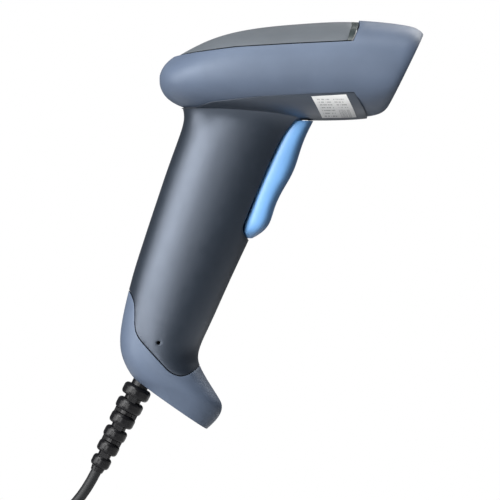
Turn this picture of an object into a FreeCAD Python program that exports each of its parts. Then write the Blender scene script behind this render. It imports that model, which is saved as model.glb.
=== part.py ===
import FreeCAD, Part
import math
import os

import Sketcher
from FreeCAD import Placement, Rotation, Vector

# Handheld barcode scanner, held upright: +X to the nose, +Z up, +Y to the scanner's left.
# The origin is the middle of the grip.  All sizes are in millimetres.

os.makedirs("parts", exist_ok=True)
doc = FreeCAD.newDocument("BarcodeScanner")

DIMENSIONS = {
    # moulded housing
    "wall": 2.2,
    "panel_step": 0.7,
    "keel_step": 1.5,
    "keel_drop": 2.3,
    "seam_gap": 0.4,
    "label_thickness": 0.15,
    # scan window in the nose
    "window_width": 46.0,
    "window_height": 18.0,
    "window_thickness": 1.2,
    "gasket_width": 1.2,
    "gasket_thickness": 1.8,
    # trigger
    "pivot_forward": 36.5,
    "pivot_height": 51.0,
    "pin_radius": 1.5,
    "pin_play": 0.05,
    "pin_length": 21.0,
    "knuckle_radius": 4.0,
    "arm_width": 6.0,
    "slot_clearance": 0.8,
    "striker_radius": 3.0,
    "striker_drop": 12.0,
    "plunger_radius": 1.2,
    "plunger_length": 4.6,
    "switch_length": 7.6,
    "switch_width": 8.0,
    "switch_height": 8.0,
    "spring_wire": 0.6,
    "spring_radius": 2.6,
    # circuit boards
    "board_length": 62.0,
    "board_width": 20.0,
    "board_thickness": 1.6,
    "socket_length": 2.4,
    "socket_height": 1.8,
    "chip_size": 10.0,
    "memory_size": 6.0,
    "chip_height": 1.2,
    "beeper_radius": 6.0,
    "beeper_height": 4.2,
    "flex_width": 12.0,
    "flex_thickness": 0.4,
    # scan engine
    "chassis_length": 32.0,
    "chassis_width": 44.0,
    "chassis_height": 18.5,
    "chassis_floor": 2.0,
    "lens_radius": 4.5,
    "lens_length": 14.0,
    "sensor_width": 30.0,
    "sensor_height": 7.0,
    "led_size": 2.8,
    "led_depth": 1.6,
    "lid_thickness": 1.0,
    "sensor_depth": 2.4,
    "lamp_board_height": 8.0,
    "lamp_board_thickness": 1.2,
    "diffuser_radius": 2.0,
    "pipe_length": 3.0,
    "pipe_width": 7.0,
    "pipe_height": 6.0,
    # modular connector
    "jack_width": 14.0,
    "jack_depth": 12.0,
    "jack_height": 16.0,
    "jack_plug_width": 11.6,
    "jack_plug_depth": 7.6,
    "jack_plug_height": 13.0,
    # screws
    "screw_radius": 1.1,
    "screw_head_radius": 2.3,
    "boss_radius": 3.2,
    # cable, coil and plug
    "cable_radius": 2.25,
    "boot_radius": 5.85,
    "boot_neck_radius": 3.6,
    "coil_radius": 25.0,
    "coil_columns": 3.0,
    "coil_layers": 4.0,
    "tail_length": 22.0,
    "tie_thickness": 0.8,
    "tie_angle": 26.0,
    "grip_length": 30.0,
    "grip_width": 16.0,
    "grip_height": 8.4,
    "shell_length": 17.0,
    "shell_width": 12.0,
    "shell_height": 4.5,
    "shell_wall": 0.35,
    "tongue_thickness": 1.9,
}

sheet = doc.addObject("Spreadsheet::Sheet", "sizes")
for row, (alias, value) in enumerate(DIMENSIONS.items(), start=1):
    sheet.set(f"A{row}", alias)
    sheet.set(f"B{row}", str(value))
    sheet.setAlias(f"B{row}", alias)
doc.recompute()

subparts = []


def size(alias):
    """Value of one driving dimension, read from the sheet."""
    return float(getattr(sheet, alias))


def cell(expression):
    """Expression with every alias pointed at the sheet."""
    for alias in sorted(DIMENSIONS, key=len, reverse=True):
        expression = expression.replace(f"<{alias}>", f"sizes.{alias}")
    return expression


def keep(feature, label, place=None):
    """Name a finished sub-part, put it in its place and list it for export."""
    feature.Label = label
    if place is not None:
        feature.Placement = place
    subparts.append(feature)
    return feature


def keep_shape(label, shape, place=Placement()):
    """Sub-part whose free-form shape is worked out in code."""
    feature = doc.addObject("Part::Feature", label)
    feature.Shape = shape
    return keep(feature, label, place)


def at(x, y, z, axis=Vector(0, 1, 0), angle=0.0):
    """Placement at a point, turned about an axis by degrees."""
    return Placement(Vector(x, y, z), Rotation(axis, angle))


# ---------------------------------------------------------------- sketches and bodies

def sketch_on(body, role, name, offset=0.0):
    """Sketch on one of the body's own origin planes."""
    sketch = body.newObject("Sketcher::SketchObject", name)
    plane = next(item for item in body.Origin.OriginFeatures if item.Role == role)
    sketch.AttachmentSupport = [(plane, "")]
    sketch.MapMode = "FlatFace"
    sketch.AttachmentOffset = Placement(Vector(0, 0, offset), Rotation())
    return sketch


def draw_rectangle(sketch, width, height, centre=(0.0, 0.0)):
    """Rectangle of two sheet sizes, centred on a point of the sketch."""
    cx, cy = centre
    corners = [Vector(cx + sx, cy + sy, 0) for sx, sy in ((-1, -1), (1, -1), (1, 1), (-1, 1))]
    first = sketch.GeometryCount
    for start, end in zip(corners, corners[1:] + corners[:1]):
        sketch.addGeometry(Part.LineSegment(start, end), False)
    for side in range(4):
        sketch.addConstraint(Sketcher.Constraint("Coincident", first + side, 2, first + (side + 1) % 4, 1))
    for side, direction in ((0, "Horizontal"), (2, "Horizontal"), (1, "Vertical"), (3, "Vertical")):
        sketch.addConstraint(Sketcher.Constraint(direction, first + side))
    limits = (("DistanceX", 0, 1, 2, width), ("DistanceY", 1, 1, 2, height))
    for kind, side, start, end, expression in limits:
        index = sketch.addConstraint(Sketcher.Constraint(kind, first + side, start, first + side, end, 2.0))
        sketch.setExpression(f"Constraints[{index}]", cell(expression))
    offsets = (("DistanceX", f"{cx} - ({width}) / 2"), ("DistanceY", f"{cy} - ({height}) / 2"))
    for kind, expression in offsets:
        index = sketch.addConstraint(Sketcher.Constraint(kind, -1, 1, first, 1, -1.0))
        sketch.setExpression(f"Constraints[{index}]", cell(expression))


def draw_circle(sketch, radius, centre=(0.0, 0.0)):
    """Circle whose radius is a sheet expression."""
    cx, cy = centre
    index = sketch.addGeometry(Part.Circle(Vector(cx, cy, 0), Vector(0, 0, 1), 1.0), False)
    bound = sketch.addConstraint(Sketcher.Constraint("Radius", index, 1.0))
    sketch.setExpression(f"Constraints[{bound}]", cell(radius))


def draw_outline(sketch, points):
    """Closed outline of straight sides."""
    corners = [Vector(u, v, 0) for u, v in points]
    for start, end in zip(corners, corners[1:] + corners[:1]):
        sketch.addGeometry(Part.LineSegment(start, end), False)


def new_body(label):
    return doc.addObject("PartDesign::Body", label)


def pad(body, sketch, length, reverse=False):
    feature = body.newObject("PartDesign::Pad", f"{sketch.Name}_pad")
    feature.Profile = sketch
    feature.Reversed = reverse
    feature.setExpression("Length", cell(length))
    return feature


def pocket(body, sketch, length, reverse=False):
    feature = body.newObject("PartDesign::Pocket", f"{sketch.Name}_pocket")
    feature.Profile = sketch
    feature.Reversed = reverse
    feature.setExpression("Length", cell(length))
    return feature


def block(label, width, height, length, place):
    """Rectangular piece: a centred rectangle padded along the body's own Z."""
    body = new_body(label)
    sketch = sketch_on(body, "XY_Plane", f"{label}_outline")
    draw_rectangle(sketch, width, height)
    pad(body, sketch, length)
    return keep(body, label, place)


def disc(label, radius, length, place):
    """Round piece padded along the body's own Z."""
    body = new_body(label)
    sketch = sketch_on(body, "XY_Plane", f"{label}_outline")
    draw_circle(sketch, radius)
    pad(body, sketch, length)
    return keep(body, label, place)


def turned(label, outline, place):
    """Piece turned about the body's own Z from an outline of (radius, height) points."""
    body = new_body(label)
    sketch = sketch_on(body, "XZ_Plane", f"{label}_outline")
    draw_outline(sketch, outline)
    turn = body.newObject("PartDesign::Revolution", f"{label}_turn")
    turn.Profile = sketch
    turn.ReferenceAxis = (sketch, ["V_Axis"])
    turn.Angle = 360.0
    return keep(body, label, place)


# ---------------------------------------------------------------- free-form skins

RING_POINTS = 24


def ring(low, high, half_width, squareness):
    """Superellipse through a low and a high point of the side view, on its own tilted plane."""
    foot = Vector(low[0], 0, low[1])
    top = Vector(high[0], 0, high[1])
    middle = (foot + top) / 2
    rise = (top - foot) / 2
    points = []
    for index in range(RING_POINTS):
        turn = 2 * math.pi * index / RING_POINTS
        across = math.copysign(abs(math.cos(turn)) ** (2 / squareness), math.cos(turn))
        along = math.copysign(abs(math.sin(turn)) ** (2 / squareness), math.sin(turn))
        points.append(middle + rise * along + Vector(0, half_width * across, 0))
    return points


def sharpen(rings):
    """Control net whose cubic skin is as wide and as tall as the rings' own points."""
    net = []
    for points in rings:
        count = len(points)
        net.append([
            points[i] - (points[i - 1] - points[i] * 2 + points[(i + 1) % count]) / 6
            for i in range(count)
        ])
    return net


def inset(net, depth, flat_start=True):
    """Control net moved inwards by a depth; an end that is open keeps its own plane."""
    last = len(net) - 1
    moved = []
    for level, points in enumerate(net):
        count = len(points)
        ahead = net[min(level + 1, last)]
        behind = net[max(level - 1, 0)]
        axis = (points[0] - points[count // 2]).cross(points[count // 4] - points[-count // 4])
        axis.normalize()
        row = []
        for i, point in enumerate(points):
            normal = (points[(i + 1) % count] - points[i - 1]).cross(ahead[i] - behind[i])
            is_end = level in (0, last)
            if is_end:
                normal = normal - axis * normal.dot(axis)
            normal.normalize()
            inward = -normal * depth
            if level == last or (level == 0 and flat_start):
                inward = -axis * depth if level == last else axis * depth
            row.append(point + inward)
        moved.append(row)
    return moved


def skin(net):
    """Closed solid: a cubic skin over the control net, with a flat face at each end."""
    levels = len(net)
    around = len(net[0])
    surface = Part.BSplineSurface()
    surface.buildFromPolesMultsKnots(
        net,
        [4] + [1] * (levels - 4) + [4],
        [1] * (around + 1),
        [float(level) for level in range(levels - 2)],
        [float(step) for step in range(around + 1)],
        False,
        True,
        3,
        3,
    )
    side = surface.toShape()
    rims = [edge for edge in side.Edges if edge.isClosed()]
    shell = Part.makeShell([side] + [Part.Face(Part.Wire([rim])) for rim in rims])
    shell.sewShape()
    solid = Part.Solid(shell)
    if not solid.isValid():
        solid.fix(1e-4, 1e-4, 1e-4)
    if solid.Volume < 0:
        solid.reverse()
    return solid


def prism(points, right=-60.0, left=60.0):
    """Outline of the side view (X, Z), run through from one Y to another."""
    corners = [Vector(x, right, z) for x, z in points]
    return Part.Face(Part.makePolygon(corners + corners[:1])).extrude(Vector(0, left - right, 0))


def cross_rod(x, z, radius, right, left):
    """Round rod along Y."""
    return Part.makeCylinder(radius, left - right, Vector(x, right, z), Vector(0, 1, 0))


def shifted(shape, x, z):
    moved = shape.copy()
    moved.translate(Vector(x, 0, z))
    return moved


def lowered(shape):
    """Keel shape, brought down until its underside is level with the cover's nose."""
    return shifted(shape, 0, -size("keel_drop"))


# Head rings from tail to nose: low point, high point, half-width, squareness.
HEAD_RINGS = (
    ((-14.9, 62.4), (-14.9, 65.8), 3.5, 2.0),
    ((-14.7, 60.8), (-14.3, 68.0), 9.5, 2.0),
    ((-13.4, 57.9), (-12.2, 71.2), 15.5, 2.1),
    ((-10.6, 55.2), (-8.2, 74.0), 20.0, 2.1),
    ((-5.6, 52.6), (-2.6, 77.2), 23.6, 2.2),
    ((3.0, 50.4), (5.4, 81.2), 26.4, 2.2),
    ((14.0, 49.2), (15.6, 84.3), 28.4, 2.3),
    ((27.0, 48.5), (28.6, 86.4), 29.8, 2.3),
    ((42.0, 48.2), (44.0, 87.6), 31.0, 2.3),
    ((57.0, 48.2), (60.0, 88.6), 32.2, 2.4),
    ((67.6, 48.7), (73.6, 87.7), 32.9, 2.5),
    ((74.4, 49.6), (85.4, 86.3), 33.2, 2.6),
    ((77.0, 51.0), (91.2, 84.9), 32.9, 2.6),
    ((78.1, 52.3), (92.8, 82.4), 31.6, 2.6),
)

# Grip rings from the neck to the foot: rear point, front point, half-width.
GRIP_RINGS = (
    ((-6.0, 61.0), (64.0, 61.0), 26.0),
    ((-6.6, 56.0), (58.0, 56.0), 20.6),
    ((-5.0, 51.5), (50.5, 51.5), 17.6),
    ((-4.8, 47.4), (45.2, 47.4), 16.2),
    ((-6.4, 42.0), (41.8, 42.0), 15.6),
    ((-9.4, 34.0), (37.6, 34.0), 15.4),
    ((-12.8, 24.4), (33.4, 24.4), 15.4),
    ((-16.1, 14.5), (29.0, 14.5), 15.5),
    ((-19.4, 4.6), (24.5, 4.6), 15.6),
    ((-22.7, -5.5), (19.8, -5.5), 15.8),
    ((-25.8, -15.2), (15.2, -15.2), 16.0),
    ((-28.4, -25.4), (10.6, -25.4), 16.2),
    ((-30.3, -34.0), (6.4, -35.0), 16.4),
    ((-31.4, -42.0), (2.2, -43.4), 16.6),
    ((-30.8, -48.4), (0.2, -49.6), 16.6),
    ((-28.8, -53.2), (2.0, -54.6), 16.5),
    ((-27.0, -56.2), (6.0, -61.2), 16.0),
    ((-25.8, -57.8), (9.8, -67.0), 15.2),
    ((-24.8, -58.8), (11.3, -70.2), 14.2),
    ((-23.8, -59.6), (9.2, -75.0), 13.0),
    ((-22.6, -60.2), (4.4, -79.0), 11.4),
)

# Trigger rings from top to bottom: rear X, front X, Z, half-width.
TRIGGER_RINGS = (
    (37.6, 48.0, 47.0, 9.2),
    (36.0, 46.9, 45.0, 10.0),
    (33.2, 44.4, 40.0, 10.4),
    (30.4, 42.4, 34.0, 10.4),
    (28.0, 41.0, 29.0, 10.4),
    (25.6, 38.6, 23.6, 10.4),
    (23.4, 35.0, 18.0, 10.4),
    (21.6, 32.2, 12.0, 10.4),
    (19.6, 30.9, 6.6, 10.3),
    (18.4, 28.8, 2.8, 9.8),
    (18.4, 25.8, 0.6, 8.2),
    (19.8, 23.0, -0.9, 5.0),
)

# Side-view outlines that part the housing.
COVER_REGION = (
    (-40, 52.0), (0.5, 52.4), (6.5, 54.2), (26.0, 56.2), (45.0, 57.1), (63.9, 57.8),
    (69.6, 48.9), (75, 40), (120, 40), (120, 120), (-40, 120),
)
PANEL_REGION = (
    (-40, 70.0), (-7.0, 73.4), (16.5, 76.0), (40.0, 77.2), (63.6, 78.2), (66.4, 84.8),
    (68, 100), (68, 120), (-40, 120),
)
LENS_REGION = ((59.8, 74.0), (63.2, 84.8), (64.6, 100), (90, 100), (90, 74))
CAP_SEAM = (
    (-40.0, -20.5), (-27.3, -22.6), (-25.0, -28.4), (-24.9, -34.6), (-24.2, -39.4),
    (-19.7, -45.6), (-13.1, -52.8), (-9.4, -56.0), (-5.6, -57.0), (-1.8, -55.7), (6.0, -47.5),
)
LABEL_REGION = ((46.7, 56.1), (60.7, 56.8), (66.1, 47.0), (52.6, 46.0))
FOOT_DEPTH = -100.0
WHOLE_SIDE_VIEW = ((-60, FOOT_DEPTH), (120, FOOT_DEPTH), (120, 120), (-60, 120))
LABEL_INNER_EDGE = -11.0

# Trigger's swing in degrees with a margin, the top of its slot and the room for its arm.
TRIGGER_SWING = 5.8
SLOT_TOP = 47.4
ARM_ROOM = ((28.0, 44.0), (46.0, 44.0), (46.0, 57.0), (28.0, 57.0))
ARM_OUTLINE = ((33.4, 52.0), (35.4, 43.5), (41.0, 43.5), (39.6, 52.0))
ARM_PLAY = 0.6
SPRING_ROOM = 5.2

RELEASE_HOLE = (-15.0, -43.3)
RELEASE_HOLE_RADIUS = 0.8
BORE_LENGTH = 30.0
BORE_BEHIND_EXIT = 14.0
BORE_PLAY = 0.1

BOOT_EXIT = Vector(-23.0, 0, -61.0)
BOOT_DIRECTION = Vector(-0.452, 0, -0.892)
CASE_SCREWS = ((4.0, -22.0), (14.0, 20.0), (58.0, 54.2))

head_net = sharpen([ring(*entry) for entry in HEAD_RINGS])
grip_net = sharpen([ring(rear, front, half, 2.3) for rear, front, half in GRIP_RINGS])
wall = size("wall")
panel_step = size("panel_step")
keel_step = size("keel_step")
gap = size("seam_gap")

head_outer = skin(head_net)
head_inner = skin(inset(head_net, wall))
panel_outer = skin(inset(head_net, panel_step))
panel_inner = skin(inset(head_net, panel_step + wall))
keel_outer = lowered(skin(inset(head_net, keel_step)))
keel_inner = lowered(skin(inset(head_net, keel_step + wall)))
grip_outer = skin(grip_net)
grip_inner = skin(inset(grip_net, wall, flat_start=False))
cover_region = prism(COVER_REGION)
panel_region = prism(PANEL_REGION)


def cap_region():
    """Everything below the seam of the end cap."""
    seam = Part.BSplineCurve()
    seam.interpolate([Vector(x, -60, z) for x, z in CAP_SEAM])
    start = seam.value(seam.FirstParameter)
    end = seam.value(seam.LastParameter)
    ahead = Vector(40, end.y, end.z)
    below_ahead = Vector(40, end.y, FOOT_DEPTH)
    below_start = Vector(start.x, start.y, FOOT_DEPTH)
    rest = Part.makePolygon([end, ahead, below_ahead, below_start, start])
    outline = Part.Wire([seam.toShape()] + rest.Edges)
    return Part.Face(outline).extrude(Vector(0, 120, 0))


# ---------------------------------------------------------------- nose frame

nose_low = Vector(HEAD_RINGS[-1][0][0], 0, HEAD_RINGS[-1][0][1])
nose_high = Vector(HEAD_RINGS[-1][1][0], 0, HEAD_RINGS[-1][1][1])
nose_centre = (nose_low + nose_high) / 2
nose_up = (nose_high - nose_low).normalize()
nose_out = Vector(0, 1, 0).cross(nose_up).normalize()
nose_turn = Rotation(Vector(0, 1, 0), nose_up, nose_out, "ZXY")


def on_nose(depth):
    """Placement on the slanted nose face, a depth behind it, with local Z pointing out."""
    return Placement(nose_centre - nose_out * depth, nose_turn)


def framed_block(width, height, depth):
    """Plain block centred on local Z, for cutting."""
    return Part.makeBox(width, height, depth, Vector(-width / 2, -height / 2, 0))


# ---------------------------------------------------------------- moulded housing

def make_cover():
    opening_width = size("window_width") + 2 * size("gasket_width")
    opening_height = size("window_height") + 2 * size("gasket_width")
    opening = framed_block(opening_width, opening_height, 30.0)
    opening.Placement = on_nose(15.0)
    cover = head_outer.common(cover_region).cut([head_inner, panel_region, opening])
    keep_shape("head_cover", cover)


def make_panel():
    lens_region = prism(LENS_REGION)
    shell = panel_outer.common(shifted(panel_region, -gap, gap)).cut(panel_inner)
    keep_shape("top_panel", shell.cut(lens_region))
    keep_shape("status_lens", shell.common(lens_region))


def trigger_slot():
    """Room for the trigger's swing: the slot's side view crossed with its front view."""
    room = size("slot_clearance")
    swing = math.tan(math.radians(TRIGGER_SWING))
    pivot_height = size("pivot_height")
    behind = [(rear - (pivot_height - z) * swing - room, z) for rear, _, z, _ in TRIGGER_RINGS]
    top = SLOT_TOP
    foot = TRIGGER_RINGS[-1][2] - room
    side = prism([(behind[0][0], top)] + behind + [(behind[-1][0], foot), (60, foot), (60, top)])
    widths = [(half + room, z) for _, _, z, half in TRIGGER_RINGS[1:]]
    rounded = Part.BSplineCurve()
    rounded.interpolate([
        Vector(0, -half, z) for half, z in widths] + [
        Vector(0, 0, foot)] + [
        Vector(0, half, z) for half, z in reversed(widths)])
    start = rounded.value(rounded.FirstParameter)
    end = rounded.value(rounded.LastParameter)
    lid = Part.makePolygon([end, Vector(0, end.y, top), Vector(0, start.y, top), start])
    front = Part.Face(Part.Wire([rounded.toShape()] + lid.Edges)).extrude(Vector(60, 0, 0))
    return side.common(front)


def make_handle_shells():
    pivot = (size("pivot_forward"), size("pivot_height"))
    boss = size("boss_radius")
    below_cover = prism(WHOLE_SIDE_VIEW).cut(cover_region)
    outer = keel_outer.fuse(grip_outer).common(below_cover)
    cavity = keel_inner.fuse(grip_inner)
    knuckle = size("knuckle_radius")
    arm_half = size("arm_width") / 2
    ribs = [
        cross_rod(*pivot, knuckle, -30.0, -arm_half - ARM_PLAY),
        cross_rod(*pivot, knuckle, arm_half + SPRING_ROOM, 30.0),
    ]
    ribs += [cross_rod(x, z, boss, -30.0, 30.0) for x, z in CASE_SCREWS]
    cavity = cavity.cut(ribs)
    arm_slot = prism(ARM_ROOM, -arm_half - ARM_PLAY, arm_half + SPRING_ROOM)
    pin_hole = cross_rod(*pivot, size("pin_radius"), -size("pin_length") / 2, size("pin_length") / 2)
    release_hole = cross_rod(*RELEASE_HOLE, RELEASE_HOLE_RADIUS, -30.0, 0.0)
    cap = shifted(cap_region(), gap / 2, gap)
    housing = outer.cut([cavity, trigger_slot(), arm_slot, pin_hole, release_hole, cap])
    for label, right, left in (("handle_shell_right", -60.0, 0.0), ("handle_shell_left", 0.0, 60.0)):
        half = housing.common(prism(WHOLE_SIDE_VIEW, right, left))
        for x, z in CASE_SCREWS:
            half = half.cut(cross_rod(x, z, size("screw_radius"), -4.0, 14.0))
            if left > 0:
                half = half.cut(cross_rod(x, z, size("screw_head_radius"), 9.0, 40.0))
        keep_shape(label, half)


def make_end_cap():
    neck = size("boot_neck_radius") + BORE_PLAY
    bore_start = BOOT_EXIT - BOOT_DIRECTION * BORE_BEHIND_EXIT
    bore = Part.makeCylinder(neck, BORE_LENGTH, bore_start, BOOT_DIRECTION)
    cap = grip_outer.common(cap_region()).cut([grip_inner, bore])
    keep_shape("end_cap", cap)


def make_label():
    thickness = size("label_thickness")
    lifted = lowered(skin(inset(head_net, keel_step - thickness)))
    sticker = lifted.cut(keel_outer).common(prism(LABEL_REGION, -60.0, LABEL_INNER_EDGE))
    keep_shape("spec_label", sticker)


make_cover()
make_panel()
make_handle_shells()
make_end_cap()
make_label()

# ---------------------------------------------------------------- scan window

def framed_ring(label, outer_width, outer_height, inner_width, inner_height, depth, place):
    """Rectangular frame padded along local Z."""
    body = new_body(label)
    outline = sketch_on(body, "XY_Plane", f"{label}_outline")
    draw_rectangle(outline, outer_width, outer_height)
    pad(body, outline, depth)
    opening = sketch_on(body, "XY_Plane", f"{label}_opening")
    draw_rectangle(opening, inner_width, inner_height)
    pocket(body, opening, f"{depth} + 1", reverse=True)
    return keep(body, label, place)


framed_ring(
    "window_gasket",
    "<window_width> + 2 * <gasket_width>",
    "<window_height> + 2 * <gasket_width>",
    "<window_width>",
    "<window_height>",
    "<gasket_thickness>",
    on_nose(size("gasket_thickness") + 0.3),
)
block(
    "scan_window",
    "<window_width>",
    "<window_height>",
    "<window_thickness>",
    on_nose(size("gasket_thickness") + 0.1),
)

# ---------------------------------------------------------------- trigger and its switch

PIVOT = Vector(size("pivot_forward"), 0, size("pivot_height"))
STRIKER = PIVOT + Vector(-3.5, 0, -size("striker_drop"))
STRIKER_GAP = 0.05
SPRING_PITCH = 1.0
SPRING_TURNS = 3.5
SPRING_SIDE = 3.8
SWITCH_SETBACK = 2.4


def make_trigger():
    rings = [ring((rear, z), (front, z), half, 2.8) for rear, front, z, half in TRIGGER_RINGS]
    paddle = skin(sharpen(rings))
    arm_half = size("arm_width") / 2
    arm = prism(ARM_OUTLINE, -arm_half, arm_half)
    knuckle = cross_rod(PIVOT.x, PIVOT.z, size("knuckle_radius"), -arm_half, arm_half)
    striker = Part.makeSphere(size("striker_radius"), STRIKER)
    bore = cross_rod(PIVOT.x, PIVOT.z, size("pin_radius") + size("pin_play"), -arm_half, arm_half)
    keep_shape("trigger", paddle.fuse([arm, knuckle, striker]).cut(bore).removeSplitter())


def make_plunger_and_switch():
    tip = STRIKER.x - size("striker_radius") - STRIKER_GAP
    along_x = Rotation(Vector(0, 1, 0), -90)
    disc("switch_plunger", "<plunger_radius>", "<plunger_length>",
         Placement(Vector(tip, 0, STRIKER.z), along_x))
    body = new_body("trigger_switch")
    outline = sketch_on(body, "XY_Plane", "switch_outline")
    draw_rectangle(outline, "<switch_height>", "<switch_width>")
    pad(body, outline, "<switch_length>")
    bore = sketch_on(body, "XY_Plane", "switch_bore")
    draw_circle(bore, "<plunger_radius> + <pin_play>")
    pocket(body, bore, "<plunger_length>", reverse=True)
    switch_face = tip - SWITCH_SETBACK
    keep(body, "trigger_switch", Placement(Vector(switch_face, 0, STRIKER.z), along_x))
    block("switch_board", "<switch_height> + 4", "<switch_width> + 10", "<board_thickness>",
          Placement(Vector(switch_face - size("switch_length"), 0, STRIKER.z), along_x))


def make_spring():
    """Torsion spring: close turns round the knuckle's axis, on the trigger's left."""
    wire = size("spring_wire") / 2
    radius = size("spring_radius")
    start = Vector(radius, 0, 0)
    coil = Part.makeHelix(SPRING_PITCH, SPRING_PITCH * SPRING_TURNS, radius)
    section = Part.Wire([Part.Circle(start, Vector(0, 1, 0), wire).toShape()])
    turns = Part.Wire(coil.Edges).makePipeShell([section], True, True)
    keep_shape("trigger_spring", turns, at(PIVOT.x, SPRING_SIDE, PIVOT.z, Vector(1, 0, 0), -90))


make_trigger()
make_plunger_and_switch()
make_spring()
disc("trigger_pin", "<pin_radius>", "<pin_length>",
     at(PIVOT.x, size("pin_length") / 2, PIVOT.z, Vector(1, 0, 0), 90))

# ---------------------------------------------------------------- main board in the grip

BOARD_LEAN = 17.8
board_place = at(-9.0, 0, 5.0, angle=BOARD_LEAN)


def on_board(along, across, height):
    """Placement on the front of the main board: along the grip, across it, off its face."""
    return board_place.multiply(Placement(Vector(height, across, along), Rotation(Vector(0, 1, 0), 90)))


board_half = size("board_thickness") / 2
block("main_board", "<board_length>", "<board_width>", "<board_thickness>",
      on_board(0, 0, -board_half))
block("decoder_chip", "<chip_size>", "<chip_size>", "<chip_height>", on_board(6, 0, board_half))
block("memory_chip", "<memory_size>", "<memory_size>", "<chip_height>", on_board(-8, 5, board_half))
disc("beeper", "<beeper_radius>", "<beeper_height>", on_board(-22, -3, board_half))
block("flex_socket", "<socket_length>", "<flex_width> + 2", "<socket_height>", on_board(28, 0, board_half))
BOARD_SCREWS = (-14.0, 18.0)
BOARD_SCREW_SIDE = 7.4
for index, along in enumerate(BOARD_SCREWS, start=1):
    screw_place = on_board(along, BOARD_SCREW_SIDE, board_half)
    turned(
        f"board_screw_{index}",
        ((0, -3.0), (size("screw_radius"), -3.0), (size("screw_radius"), 0), (1.9, 0), (1.9, 1.1), (0, 1.3)),
        screw_place,
    )


def make_board_holes():
    """Clearance of the two board screws through the main board."""
    board = doc.getObject("main_board")
    holes = sketch_on(board, "XY_Plane", "board_holes")
    for along in BOARD_SCREWS:
        draw_circle(holes, "<screw_radius>", (-along, BOARD_SCREW_SIDE))
    pocket(board, holes, "<board_thickness>", reverse=True)


make_board_holes()


def make_flex_cable():
    """Ribbon from the sensor board down to the main board."""
    top = Vector(35.6, 0, 60.0)
    low = on_board(28, 0, board_half + size("socket_height")).Base
    route = [top, Vector(31, 0, 58.4), Vector(17, 0, 55.4), Vector(9.5, 0, 48.0), low]
    body = new_body("flex_cable")
    outline = sketch_on(body, "XZ_Plane", "flex_outline", -size("flex_width") / 2)
    thick = size("flex_thickness")
    upper = [(p.x, p.z) for p in route]
    under = [(p.x + thick * 0.7, p.z - thick) for p in route]
    draw_outline(outline, upper + under[::-1])
    pad(body, outline, "<flex_width>")
    keep(body, "flex_cable", Placement())


make_flex_cable()

# ---------------------------------------------------------------- modular connector of the cable


def on_boot(distance):
    """Placement on the cable's way out, with local Z pointing down the boot."""
    turn = Rotation(Vector(0, 0, 1), BOOT_DIRECTION)
    return Placement(BOOT_EXIT + BOOT_DIRECTION * distance, turn)


def make_jack():
    body = new_body("modular_jack")
    outline = sketch_on(body, "XY_Plane", "jack_outline")
    draw_rectangle(outline, "<jack_depth>", "<jack_width>")
    pad(body, outline, "<jack_height>")
    mouth = sketch_on(body, "XY_Plane", "jack_mouth", size("jack_height"))
    draw_rectangle(mouth, "<jack_plug_depth> + 0.2", "<jack_plug_width> + 0.2")
    pocket(body, mouth, "<jack_plug_height> - 1")
    keep(body, "modular_jack", on_boot(-31.0))


make_jack()
block("modular_plug", "<jack_plug_depth>", "<jack_plug_width>", "<jack_plug_height>",
      on_boot(-15.0 - size("jack_plug_height") + 1.1))

# ---------------------------------------------------------------- scan engine in the head

ENGINE_REAR = 38.0
ENGINE_FLOOR = 57.5
ENGINE_AXIS = 63.0


def make_chassis():
    body = new_body("engine_chassis")
    outline = sketch_on(body, "XY_Plane", "chassis_outline")
    draw_rectangle(outline, "<chassis_length>", "<chassis_width>")
    pad(body, outline, "<chassis_height>")
    well = sketch_on(body, "XY_Plane", "chassis_well", size("chassis_height"))
    draw_rectangle(well, "<chassis_length> - 6", "<chassis_width> - 4", (-1.0, 0.0))
    pocket(body, well, "<chassis_height> - <chassis_floor>")
    doc.recompute()
    lens_hole = sketch_on(body, "YZ_Plane", "chassis_lens_hole", size("chassis_length") / 2)
    draw_circle(lens_hole, "<lens_radius>", (0.0, ENGINE_AXIS - ENGINE_FLOOR))
    pocket(body, lens_hole, "<lens_length> - 1")
    doc.recompute()
    sensor_slot = sketch_on(body, "YZ_Plane", "chassis_sensor_slot", -size("chassis_length") / 2)
    draw_rectangle(sensor_slot, "<sensor_width>", "<sensor_height>", (0.0, ENGINE_AXIS - ENGINE_FLOOR))
    pocket(body, sensor_slot, "6", reverse=True)
    keep(body, "engine_chassis", at(ENGINE_REAR + size("chassis_length") / 2, 0, ENGINE_FLOOR))


make_chassis()
engine_front = ENGINE_REAR + size("chassis_length")
engine_top = ENGINE_FLOOR + size("chassis_height")
facing_nose = Rotation(Vector(0, 1, 0), 90)
block("engine_lid", "<chassis_length>", "<chassis_width>", "<lid_thickness>",
      at(ENGINE_REAR + size("chassis_length") / 2, 0, engine_top))
turned(
    "lens_barrel",
    ((0, 0), (size("lens_radius"), 0), (size("lens_radius"), size("lens_length")),
     (3.2, size("lens_length")), (3.2, size("lens_length") - 1.5), (0, size("lens_length") - 1.5)),
    Placement(Vector(engine_front + 1.0 - size("lens_length"), 0, ENGINE_AXIS), facing_nose),
)
turned(
    "lens_glass",
    ((0, 0), (3.2, 0), (3.2, 0.6), (1.8, 1.1), (0, 1.3)),
    Placement(Vector(engine_front - 0.5, 0, ENGINE_AXIS), facing_nose),
)
block("sensor_board", "<chassis_height> - 1", "<chassis_width> - 4", "<board_thickness>",
      Placement(Vector(ENGINE_REAR - size("board_thickness"), 0, ENGINE_FLOOR + 9.5), facing_nose))
block("sensor_chip", "<sensor_height>", "<sensor_width>", "<sensor_depth>",
      Placement(Vector(ENGINE_REAR, 0, ENGINE_AXIS), facing_nose))
LED_HEIGHT = 71.5
lamp_face = engine_front + size("lamp_board_thickness")
block("illumination_board", "<lamp_board_height>", "<chassis_width> - 4", "<lamp_board_thickness>",
      Placement(Vector(engine_front, 0, LED_HEIGHT), facing_nose))
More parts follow.
